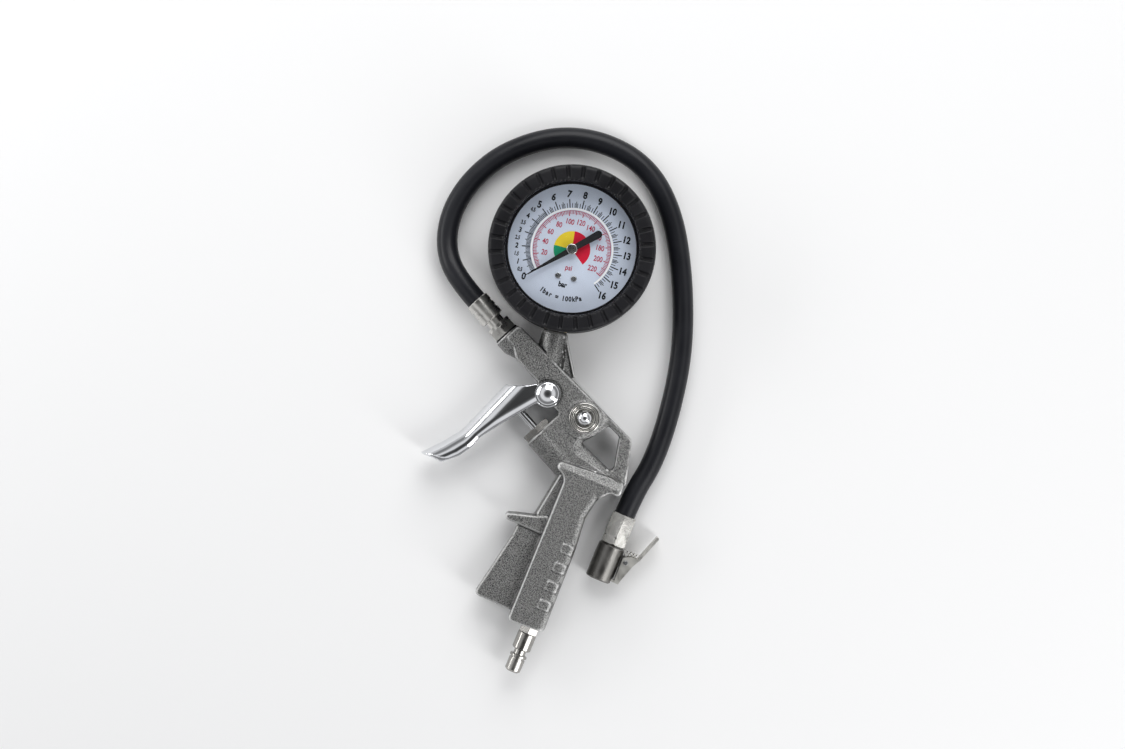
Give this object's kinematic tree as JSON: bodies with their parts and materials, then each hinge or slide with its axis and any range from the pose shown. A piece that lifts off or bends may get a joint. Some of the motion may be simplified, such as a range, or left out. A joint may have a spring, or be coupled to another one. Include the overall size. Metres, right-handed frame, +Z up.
{
  "type": "tyre inflator with gauge",
  "caption": "Hand-held tyre inflator: cast pistol body with trigger valve and bleed button, dial pressure gauge in a rubber boot, hose with clip-on chuck, quick-connect air inlet",
  "frame": {"origin": "centre of the footprint of the tool without its hose, on the surface it lies on; the gauge boot and the grip pads rest at z 0", "axes": "+Z up through the dial, +Y from the handle to the gauge, the hose leaves the barrel towards -X"},
  "size_m": [0.203, 0.2223, 0.0354],
  "materials": {
    "cast_body": "shot-blasted casting",
    "lever_chrome": "polished plate",
    "pivot_steel": "polished plate",
    "plain_steel": "turned",
    "nickel_fitting": "satin nickel plate",
    "brass_inner": "turned",
    "seal_rubber": "moulded",
    "hose_rubber": "satin, extruded",
    "boot_rubber": "matt moulded",
    "case_steel": "black enamel",
    "bezel_steel": "black gloss enamel",
    "lens_clear": "clear acrylic",
    "dial_white": "matt white enamel with print",
    "pointer_black": "matt black",
    "steel_bright": "bright",
    "button_steel": "bright turned"
  },
  "bodies": {
    "tool": {"gun_body": "cast_body", "pivot_pin": "pivot_steel", "pivot_washer": "plain_steel", "pivot_clip": "plain_steel", "gland_nut": "nickel_fitting", "rod_seal": "seal_rubber", "valve_seat": "brass_inner", "seat_oring": "seal_rubber", "valve_spring": "steel_bright", "bleed_cap": "nickel_fitting", "bleed_spring": "steel_bright", "hose_fitting": "nickel_fitting", "fitting_washer": "seal_rubber", "hose_ferrule": "nickel_fitting", "hose": "hose_rubber", "chuck_ferrule": "nickel_fitting", "chuck_coupler": "nickel_fitting", "chuck_body": "nickel_fitting", "chuck_seal": "seal_rubber", "core_pin": "brass_inner", "chuck_pin": "plain_steel", "chuck_spring": "steel_bright", "inlet_nipple": "nickel_fitting", "inlet_washer": "seal_rubber", "gauge_boot": "boot_rubber", "gauge_case": "case_steel", "bezel_ring": "bezel_steel", "lens": "lens_clear", "lens_gasket": "seal_rubber", "dial": "dial_white", "dial_posts": "brass_inner", "dial_screws": "steel_bright", "hairspring": "steel_bright", "movement_plates": "brass_inner", "movement_pillars": "brass_inner", "movement_feet": "brass_inner", "bourdon_tube": "brass_inner", "gauge_stem": "brass_inner", "stem_seal": "seal_rubber"},
    "trigger": {"trigger_lever": "lever_chrome"},
    "trigger_valve": {"valve_rod": "plain_steel", "poppet": "brass_inner", "poppet_seal": "seal_rubber"},
    "bleed_valve": {"bleed_button": "button_steel", "bleed_seal": "seal_rubber"},
    "sector": {"sector_gear": "brass_inner"},
    "pointer_group": {"pointer": "pointer_black", "pointer_cap": "steel_bright", "pinion_shaft": "brass_inner"},
    "link": {"link_rod": "brass_inner"},
    "clip": {"chuck_lever": "plain_steel"}
  },
  "joints": [
    {"name": "trigger_pull", "type": "hinge", "parent": "tool", "child": "trigger", "pos_m": [-0.004, 0.0048, 0.0115], "axis": [0, 0, 1], "range_deg": [0, 12], "stiffness_Nm_per_rad": 1, "springref_deg": -17.19},
    {"name": "valve_push", "type": "slide", "parent": "tool", "child": "trigger_valve", "axis": [1, 0, 0], "range_m": [0, 0.0032], "deforming": ["valve_spring"]},
    {"name": "bleed_press", "type": "slide", "parent": "tool", "child": "bleed_valve", "axis": [0, 0, -1], "range_m": [0, 0.0015], "stiffness_N_per_m": 1500, "springref_m": -0.002, "deforming": ["bleed_spring"]},
    {"name": "sector_turn", "type": "hinge", "parent": "tool", "child": "sector", "pos_m": [-0.06114, 0.05019, 0.0135], "axis": [0, 0, 1], "range_deg": [0, 26.63], "stiffness_Nm_per_rad": 0.01, "springref_deg": -2.86, "deforming": ["bourdon_tube"]},
    {"name": "pointer_turn", "type": "hinge", "parent": "tool", "child": "pointer_group", "pos_m": [-0.0485, 0.0608, 0.02], "axis": [0, 0, 1], "range_deg": [-266.5, 0], "deforming": ["hairspring"]},
    {"name": "link_turn", "type": "hinge", "parent": "sector", "child": "link", "pos_m": [-0.06361, 0.05511, 0.014], "axis": [0, 0, 1], "range_deg": [-26.8, 0]},
    {"name": "clip_press", "type": "hinge", "parent": "tool", "child": "clip", "pos_m": [0.08399, -0.02269, 0.0068], "axis": [0, 0, 1], "range_deg": [0, 22], "stiffness_Nm_per_rad": 0.5, "springref_deg": -17.19, "deforming": ["chuck_spring"]}
  ],
  "couplings": [
    {"joint": "valve_push", "follows": "trigger_pull", "m_per_rad": 0.015},
    {"joint": "pointer_turn", "follows": "sector_turn", "ratio": -10},
    {"joint": "link_turn", "follows": "sector_turn", "ratio": -1}
  ]
}
